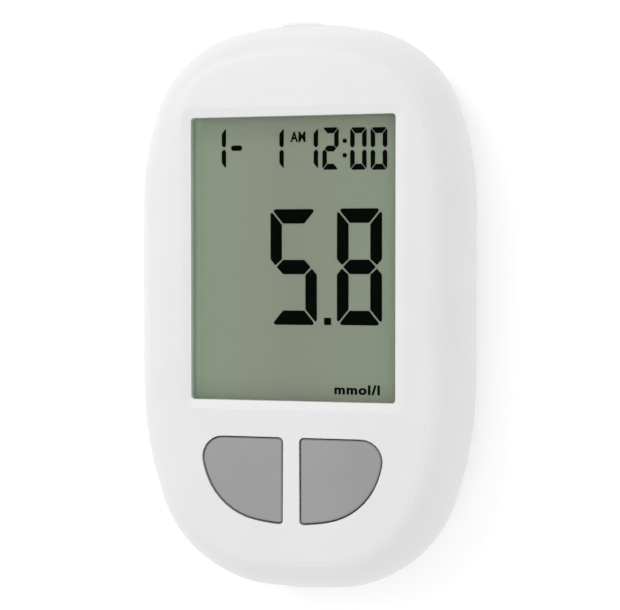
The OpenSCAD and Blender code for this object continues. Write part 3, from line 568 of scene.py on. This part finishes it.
def cell_ends(middle):
    """Faces that look along the cell, and those well inside its radius, are steel."""
    return lambda at, normal: int(abs(normal.y) > FACING_ALONG
                                  or math.hypot(at.x - middle.x, at.z - middle.z) < CELL_R - STEEL_INSET)


dress("microcontroller", epoxy_black, tin, choose=chip_leads("microcontroller", LEAD_REACH, LEAD_REACH))
dress("analog_chip", epoxy_black, tin, choose=chip_leads("analog_chip", 0.0, LEAD_REACH))
for name in ("battery_left", "battery_right"):
    low, high = (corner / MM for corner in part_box(name))
    if name == "battery_left":
        band = (high.y - BAND_END, high.y - BAND_START)
    else:
        band = (low.y + BAND_START, low.y + BAND_END)
    dress(name, foil_jacket(f"foil_jacket_{name}", *band), can_steel, choose=cell_ends((low + high) / 2))
    print(name, "has its band at, mm:", [round(edge, 1) for edge in band])

# %% [markdown]
# # The figures of the display
# A large figure is seven bars with slanted ends and a thin gap between them, so that each can be
# switched by itself. It could be typed in a font, but its slants and gaps would be the font's own.
# Three bars are modelled, the end bar, the side bar and the middle bar, and the rest are copies, turned
# over. A bar starts as a flat plane, is shaped in edit mode, and is then thickened: on the real display
# it is a layer of liquid crystal, here a plate of 0.05 mm on the film.

# %% Start and pick
FILM_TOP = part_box("front_polariser")[1].z / MM
# The thickness of a plate, in mm
PLATE = 0.05


def clear_selection():
    """Back to object mode, with nothing selected."""
    if bpy.context.object and bpy.context.object.mode != "OBJECT":
        bpy.ops.object.mode_set(mode="OBJECT")
    bpy.ops.object.select_all(action="DESELECT")


def start_plate(name, x, y):
    """A flat plane from x[0] to x[1] and y[0] to y[1], in mm, left in edit mode."""
    clear_selection()
    middle = Vector(((x[0] + x[1]) / 2, (y[0] + y[1]) / 2, 0)) * MM
    bpy.ops.mesh.primitive_plane_add(size=MM)
    bpy.context.object.name = name
    bpy.ops.object.mode_set(mode="EDIT")
    bpy.ops.transform.resize(value=(x[1] - x[0], y[1] - y[0], 1))
    bpy.ops.transform.translate(value=middle)
    return bpy.context.object


def pick(kind, test):
    """In edit mode, selects just the corners or the edges whose middle passes test, in mm."""
    bpy.ops.mesh.select_mode(type=kind)
    bpy.ops.mesh.select_all(action="DESELECT")
    mesh = bmesh.from_edit_mesh(bpy.context.object.data)
    for part in mesh.verts if kind == "VERT" else mesh.edges:
        corners = [part] if kind == "VERT" else part.verts
        middle = sum((corner.co for corner in corners), Vector()) / len(corners)
        part.select_set(bool(test(middle / MM)))
    mesh.select_flush_mode()
    bmesh.update_edit_mesh(bpy.context.object.data)


def move(x=0.0, y=0.0):
    """Moves what is selected, in mm."""
    bpy.ops.transform.translate(value=Vector((x, y, 0)) * MM)


print("the figures stand on the film at, mm:", round(FILM_TOP, 2))

# %% [markdown]
# # Points, soft corners and thickness
# Where two bars of a real figure meet, each ends in a point, and etching leaves every corner a little
# round. The points could be cut off with a bisecting plane, but drawing an edge out into one keeps
# control of where its tip lies. A bevel on corners rounds the outline in plan. It runs twice, because a
# sharp tip needs a longer cut than a blunt corner to look as round. Last, the flat face is extruded to
# the plate's thickness.

# %% Point, round and thicken
# An outline that turns by fewer degrees than STRAIGHT runs on, and by more than SHARP_TURN has a tip
STRAIGHT = 1
SHARP_TURN = 110
ROUND_STEPS = 3


def point_end(test, tip):
    """Draws one edge of the plate out into a point: the edge is extruded, merged, and put at tip."""
    pick("EDGE", test)
    bpy.ops.mesh.extrude_region_move()
    bpy.ops.mesh.select_mode(type="VERT")
    bpy.ops.mesh.merge(type="CENTER")
    mesh = bmesh.from_edit_mesh(bpy.context.object.data)
    at = next(corner.co.copy() for corner in mesh.verts if corner.select) / MM
    move(tip[0] - at.x, tip[1] - at.y)


def round_corners(rounding, is_chosen):
    """Rounds in plan the corners whose outline turns by an angle that is_chosen accepts, in degrees."""
    bpy.ops.mesh.select_mode(type="VERT")
    bpy.ops.mesh.select_all(action="DESELECT")
    mesh = bmesh.from_edit_mesh(bpy.context.object.data)
    for corner in mesh.verts:
        corner.select_set(is_chosen(math.degrees(corner.calc_edge_angle(0.0))))
    mesh.select_flush_mode()
    bmesh.update_edit_mesh(bpy.context.object.data)
    bpy.ops.mesh.bevel(offset=rounding * MM, segments=ROUND_STEPS, affect="VERTICES")


def finish_plate(rounding, tip_rounding=0.0):
    """Rounds the blunt corners a little and the sharp tips more, and gives the plate its thickness."""
    bpy.ops.mesh.select_mode(type="VERT")
    bpy.ops.mesh.select_all(action="SELECT")
    bpy.ops.mesh.dissolve_limited(angle_limit=math.radians(STRAIGHT))
    round_corners(rounding, lambda turn: turn < SHARP_TURN)
    if tip_rounding:
        round_corners(tip_rounding, lambda turn: turn > SHARP_TURN)
    bpy.ops.mesh.select_all(action="SELECT")
    bpy.ops.mesh.extrude_region_move(TRANSFORM_OT_translate={"value": (0, 0, PLATE * MM)})
    bpy.ops.mesh.select_all(action="SELECT")
    bpy.ops.mesh.normals_make_consistent(inside=False)
    bpy.ops.object.mode_set(mode="OBJECT")
    return bpy.context.object


print("a plate of the display, mm thick:", PLATE)

# %% [markdown]
# # The three bars of a figure
# The end bar lies along the top of a figure and is wider outside than inside. The side bar stands in
# the upper half, cut at a slant under the end bar and drawn to a point by the middle of the figure. The
# middle bar is pointed at both ends. All seven could be modelled one by one, but a figure is the same
# upside down and from left to right, so three bars and their mirror copies are enough, and a copy can't
# differ by mistake.

# %% Bars and their copies
# How far a side bar's shoulders stand over the middle of the figure, in heights of an end bar
SHOULDER = 0.54
# Where across a side bar its lower tip lies, as a share of its width, and how far over the middle, in gaps
TIP, TIP_GAP = 0.43, 1.4
# How far in from the figure's edge the middle bar's tips and shoulders lie, in widths of a side bar
MIDDLE_TIP, MIDDLE_SHOULDER = 0.54, 1.1


def make_bars(name, w, h, end_h, side_w, gap, rounding, tip_rounding):
    """The end, side and middle bars of a figure w wide and h high, in mm, with gap between the bars."""
    end = start_plate(name + "_end", (gap, w - gap), (h - end_h, h))
    pick("EDGE", lambda at: at.y < h - end_h + NEAR)
    bpy.ops.transform.resize(value=((w - 2 * (side_w + gap)) / (w - 2 * gap), 1, 1))
    finish_plate(rounding, tip_rounding)
    foot = h / 2 + end_h * SHOULDER
    side = start_plate(name + "_side", (0, side_w), (foot, h - gap))
    pick("VERT", lambda at: at.x > side_w / 2 and at.y > h - gap - NEAR)
    move(y=-end_h)
    point_end(lambda at: at.y < foot + NEAR, (side_w * TIP, h / 2 + gap * TIP_GAP))
    finish_plate(rounding, tip_rounding)
    tip, shoulder = side_w * MIDDLE_TIP, side_w * MIDDLE_SHOULDER
    middle = start_plate(name + "_middle", (shoulder, w - shoulder), ((h - end_h) / 2, (h + end_h) / 2))
    point_end(lambda at: at.x < shoulder + NEAR, (tip, h / 2))
    point_end(lambda at: at.x > w - shoulder - NEAR, (w - tip, h / 2))
    finish_plate(rounding)
    return {"end": end, "side": side, "middle": middle}


def turned(bar, w, h, across, upside):
    """A copy of a bar with its own mesh, mirrored across the figure, upside down, or both."""
    copy = bar.copy()
    copy.data = bar.data.copy()
    bpy.context.scene.collection.objects.link(copy)
    shift = Vector((w if across else 0, h if upside else 0, 0)) * MM
    mirror = Matrix.Diagonal((-1 if across else 1, -1 if upside else 1, 1, 1))
    copy.data.transform(Matrix.Translation(shift) @ mirror)
    if across != upside:
        copy.data.flip_normals()
    return copy


print("a side bar's shoulders stand over the middle, in heights of an end bar:", SHOULDER)

# %% [markdown]
# # Which bars each figure lights
# The display lights a figure by switching some of its seven bars on. The unlit bars of the real one
# can't be seen, so they aren't made at all. They could be made and hidden, but a hidden piece is one
# more to keep right. Lit marks are dark and ride with the housing.

# %% Lit bars
BARS = {"top": ("end", False, False), "bottom": ("end", False, True), "middle": ("middle", False, False),
        "upper_left": ("side", False, False), "upper_right": ("side", True, False),
        "lower_left": ("side", False, True), "lower_right": ("side", True, True)}
SIDES = ["upper_left", "upper_right", "lower_left", "lower_right"]
LIT = {"0": SIDES + ["top", "bottom"],
       "1": ["upper_right", "lower_right"],
       "2": ["top", "upper_right", "middle", "lower_left", "bottom"],
       "5": ["top", "upper_left", "middle", "lower_right", "bottom"],
       "8": SIDES + ["top", "middle", "bottom"]}


def join(name, pieces):
    """Joins pieces into one object with that name."""
    clear_selection()
    for piece in pieces:
        piece.select_set(True)
    bpy.context.view_layer.objects.active = pieces[0]
    if len(pieces) > 1:
        bpy.ops.object.join()
    pieces[0].name = name
    return pieces[0]


def figures(name, bars, w, h, places):
    """Joined figures. places is a list of (figure, x, y) of each lower left corner, in mm."""
    made = []
    for figure, x, y in places:
        for bar_name in LIT[figure]:
            kind, across, upside = BARS[bar_name]
            bar = turned(bars[kind], w, h, across, upside)
            bar.data.transform(Matrix.Translation(Vector((x, y, FILM_TOP)) * MM))
            made.append(bar)
    return join(name, made)


def lit(piece):
    """A lit mark of the display: it is dark and rides with the housing."""
    piece.data.materials.clear()
    piece.data.materials.append(figure_black)
    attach(piece, "housing")
    return piece


print("bars lit:", {figure: len(bars) for figure, bars in LIT.items()})

# %% [markdown]
# # The reading
# The reading fills the middle of the display: two large figures, set a little apart for the point
# between them. On the real display the 5 is drawn a hair wider than the 8, so each gets its own bars.
# One set could be scaled for both, but scaling would change the widths of the bars and of the gaps too.

# %% The reading
READING_H = 19.05
# Each figure with its left edge, its foot and its width
READING = [("5", -4.29, -2.78, 7.92), ("8", 7.03, -2.74, 7.55)]
reading_bars, reading_parts = [], []
for figure, x, y, w in READING:
    bars = make_bars(f"reading_bar_{figure}", w, READING_H, end_h=2.36, side_w=1.95, gap=0.2,
                     rounding=0.12, tip_rounding=0.75)
    reading_parts.append(figures(f"reading_figure_{figure}", bars, w, READING_H, [(figure, x, y)]))
    reading_bars += bars.values()
reading = lit(join("reading_figures", reading_parts))
print("reading, mm:", [round(side / MM, 2) for side in reading.dimensions])

# %% [markdown]
# # The clock and the date
# A row of small figures runs along the top of the display, the date on the left and the clock on the
# right. Its figures are all alike, so one set of bars serves the whole row. They could be scaled copies
# of the reading's bars, but small figures have thinner bars for their height. Once the row is made, the
# bars that served as patterns are taken out of the scene.

# %% The clock and the date
CLOCK_W, CLOCK_H = 2.74, 6.87
# The height of the row over the middle of the meter, in mm, and how much it falls in each mm to the right
ROW_Y, ROW_FALL = 22.775, 0.0165
clock_bars = make_bars("clock_bar", CLOCK_W, CLOCK_H, end_h=0.94, side_w=0.74, gap=0.1,
                       rounding=0.06, tip_rounding=0.26)


def row(name, *figures_at):
    """One run of the small row, whose right end lies a hair lower. figures_at holds pairs of a figure and
    its left edge in mm."""
    places = [(figure, x, ROW_Y - ROW_FALL * (x + CLOCK_W / 2)) for figure, x in figures_at]
    return lit(figures(name, clock_bars, CLOCK_W, CLOCK_H, places))


clock = row("clock_figures", ("1", 1.09), ("2", 4.57), ("0", 9.25), ("0", 12.67))
date = row("date_figures", ("1", -14.75), ("1", -4.76))
for bar in reading_bars + list(clock_bars.values()):
    bpy.data.objects.remove(bar)
print("clock, mm:", [round(side / MM, 2) for side in clock.dimensions])
print("date, mm:", [round(side / MM, 2) for side in date.dimensions])

# %% [markdown]
# # Point, colon and dash
# The decimal point is a small square with soft corners, the colon two round dots, and the date's dash a
# short bar with round ends. A dot could be a disc of its own, but a square whose corners are rounded by
# almost half its side is as round. So all of them are the same plate with other sizes and roundings.

# %% Point, colon and dash
# A dot's width, the left edge of both dots and the lower edge of each, in mm
DOT = 0.74
COLON_X, COLON_Y = 7.96, (24.6, 26.95)


def small_plate(name, x, y, rounding):
    """A rounded plate on the film, from x[0] to x[1] and y[0] to y[1], in mm."""
    start_plate(name, x, y)
    piece = finish_plate(rounding)
    piece.data.transform(Matrix.Translation(Vector((0, 0, FILM_TOP)) * MM))
    return piece


point = lit(small_plate("decimal_point", (4.85, 6.04), (-2.75, -1.58), rounding=0.12))
dash = lit(small_plate("date_dash", (-11.13, -9.22), (26.02, 26.9), rounding=0.4))
dots = [small_plate("dot", (COLON_X, COLON_X + DOT), (y, y + DOT), rounding=0.34) for y in COLON_Y]
colon = lit(join("clock_colon", dots))
print("point, dash, colon, mm wide:", [round(mark.dimensions.x / MM, 2) for mark in (point, dash, colon)])

# %% [markdown]
# # The two small words
# A display of this kind marks the time of day and the unit of the reading with small fixed words. Their
# letters could be drawn as plates, stroke by stroke. Text is quicker: it is typed, thickened, turned
# into a mesh, scaled to its measured width and height, and only then moved to its place.


# %% Small words
def word(name, letters, x, y, thick, spacing):
    """Letters as a flat mesh that fills the box from x[0] to x[1] and y[0] to y[1], in mm. thick is how
    far their strokes are widened, in mm, and spacing stretches the gaps between them."""
    clear_selection()
    bpy.ops.object.text_add()
    text = bpy.context.object
    text.data.body = letters
    text.data.space_character = spacing
    text.data.size = (y[1] - y[0]) * MM
    text.data.offset = thick * MM
    text.data.extrude = PLATE / 2 * MM
    text.data.resolution_u = 4
    bpy.ops.object.convert(target="MESH")
    piece = bpy.context.object
    piece.name = name
    corners = [corner.co for corner in piece.data.vertices]
    low = Vector(min(corner[i] for corner in corners) for i in range(3))
    high = Vector(max(corner[i] for corner in corners) for i in range(3))
    wider, taller = (x[1] - x[0]) * MM / (high.x - low.x), (y[1] - y[0]) * MM / (high.y - low.y)
    fit = Matrix.Diagonal((wider, taller, 1, 1))
    to_place = Matrix.Translation(Vector((x[0], y[0], FILM_TOP)) * MM)
    piece.data.transform(to_place @ fit @ Matrix.Translation(-low))
    return piece


half_day = lit(word("half_day_mark", "AM", (-0.87, 1.69), (27.27, 28.99), thick=0.045, spacing=1.08))
unit = lit(word("unit_mark", "mmol/l", (6.62, 14.24), (-14.11, -12.5), thick=0.06, spacing=1.15))
print("words, mm wide:", [round(mark.dimensions.x / MM, 2) for mark in (half_day, unit)])

# %% [markdown]
# # Floor
# The meter lies on its back on a plain pale floor. Such pictures are taken on a light table, or cut out
# after they are taken, so that the shadow under the object is faint or gone. Here the floor glows a
# little, as a light table does, and stays one plain sheet. It lies a hair under the meter, because two
# faces in one plane flicker.

# %% Floor
FLOOR_SIZE = 6.0
FLOOR_DROP = 0.03 * MM
FLOOR_GLOW = 0.1
ROLLER_GRAIN = 25.0 * MM
clear_selection()
bpy.ops.mesh.primitive_plane_add(size=FLOOR_SIZE, location=(0, 0, -FLOOR_DROP))
floor = bpy.context.object
floor.name = "floor"
floor_paint, tree = material("floor_paint")
at = add(tree, "ShaderNodeTexCoord").outputs["Object"]
roller = add(tree, "ShaderNodeTexNoise", {"Vector": at, "Scale": 1 / ROLLER_GRAIN, "Detail": 2.0})
tone = add(tree, "ShaderNodeValToRGB", {"Fac": roller.outputs["Fac"]},
           stops=[(0.3, linear("#fafafa")), (0.7, linear("#fcfcfc"))])
paint = add(tree, "ShaderNodeBsdfPrincipled", {
    "Base Color": tone.outputs["Color"], "Roughness": 0.8,
    "Emission Color": (1, 1, 1, 1), "Emission Strength": FLOOR_GLOW})
add(tree, "ShaderNodeOutputMaterial", {"Surface": paint.outputs[0]})
floor.data.materials.append(floor_paint)
print("floor, m wide:", FLOOR_SIZE)

# %% [markdown]
# # Sky and black card
# Most of the light is a bright overcast sky, brighter overhead than low down. It could be a ring of
# large lamps, but a sky made in the world's own nodes has no edges that mirror in the window. A
# photographer who wants to see into a flat window hangs a black card where the window would mirror the
# sky into the lens. The sky has such a card too, small, with a soft edge: it is dark where a direction
# points close to the card.

# %% Sky
# Height from level to straight up, as a share, and the light there
SKY = [(0.0, 0.78), (0.35, 0.87), (0.65, 1.02), (1.0, 1.15)]
# The direction of the card, how many degrees from its middle its soft edge ends and starts, and its light
CARD_AT = (-0.276, 0.0, 0.961)
CARD_EDGE, CARD_CORE = 13, 8.5
CARD_LIGHT = 0.03
world = bpy.data.worlds.new("studio_sky")
bpy.context.scene.world = world
world.use_nodes = True
tree = world.node_tree
tree.nodes.clear()
direction = add(tree, "ShaderNodeTexCoord").outputs["Generated"]
height = add(tree, "ShaderNodeSeparateXYZ", {"Vector": direction}).outputs["Z"]
sky = add(tree, "ShaderNodeValToRGB", {"Fac": height},
          stops=[(place, (light, light, light, 1)) for place, light in SKY])
towards_card = add(tree, "ShaderNodeVectorMath", {0: direction, 1: CARD_AT}, operation="DOT_PRODUCT")
open_sky = add(tree, "ShaderNodeMapRange", {
    "Value": towards_card.outputs["Value"], "From Min": math.cos(math.radians(CARD_EDGE)),
    "From Max": math.cos(math.radians(CARD_CORE)), "To Min": 1.0, "To Max": CARD_LIGHT})
background = add(tree, "ShaderNodeBackground", {
    "Color": sky.outputs["Color"], "Strength": open_sky.outputs[0]})
add(tree, "ShaderNodeOutputWorld", {"Surface": background.outputs[0]})
print("card leans from straight up, degrees:", round(math.degrees(math.acos(CARD_AT[2])), 1))

# %% [markdown]
# # Softbox
# One softbox up and to the left models the edges: it makes the upper left rim the brightest and leaves
# the lower right one in soft shade. A small hard lamp would do the same with a hard shadow and a bright
# spot on the window, so this one is a square of light, near and almost three times as wide as the meter
# is long.

# %% Softbox
SOFTBOX_AT = (-0.21, 0.21, 0.36)
SOFTBOX_AIM = (0, 0, 0.01)
SOFTBOX_SIZE = 0.26
SOFTBOX_POWER = 0.5
clear_selection()
bpy.ops.object.light_add(type="AREA", location=SOFTBOX_AT)
softbox = bpy.context.object
softbox.name = "softbox"
softbox.data.shape = "SQUARE"
softbox.data.size = SOFTBOX_SIZE
softbox.data.energy = SOFTBOX_POWER
softbox.rotation_euler = (Vector(SOFTBOX_AIM) - softbox.location).to_track_quat("-Z", "Y").to_euler()
print("softbox, m from the meter:", round(softbox.location.length, 2))

# %% [markdown]
# # Camera
# The camera stands almost straight over the meter and a little to its right, and the long side of the
# meter is upright in the picture. It could be turned by hand until it looks right. Its place, aim and
# lens were worked out instead, so that the outline of the meter falls where the photograph has it. Its
# three axes follow from its place and its aim: one runs back from the aim to the eye, one to the right,
# and one up.

# %% Camera
# The place and the aim, in mm, the width of the sensor and the length of the lens, in mm, and the nearest
# distance that is rendered, in metres
EYE = (72.97, 7.74, 274.71)
AIM = (0.50, 0.31, 10.0)
SENSOR, FOCAL = 36.0, 94.37
NEAREST = 0.01
eye, aim = Vector(EYE) * MM, Vector(AIM) * MM
back = (eye - aim).normalized()
right = Vector((0, 1, 0)).cross(back).normalized()
up = back.cross(right)
lens = bpy.data.cameras.new("camera")
lens.sensor_fit = "HORIZONTAL"
lens.sensor_width = SENSOR
lens.lens = FOCAL
lens.clip_start = NEAREST
camera = bpy.data.objects.new("camera", lens)
camera.matrix_world = Matrix.Translation(eye) @ Matrix((right, up, back)).transposed().to_4x4()
bpy.context.scene.collection.objects.link(camera)
bpy.context.scene.camera = camera
# Colours go to the screen as they are, without the soft shoulder of film
bpy.context.scene.view_settings.view_transform = "Standard"
print("camera, mm from its aim:", round((eye - aim).length / MM))
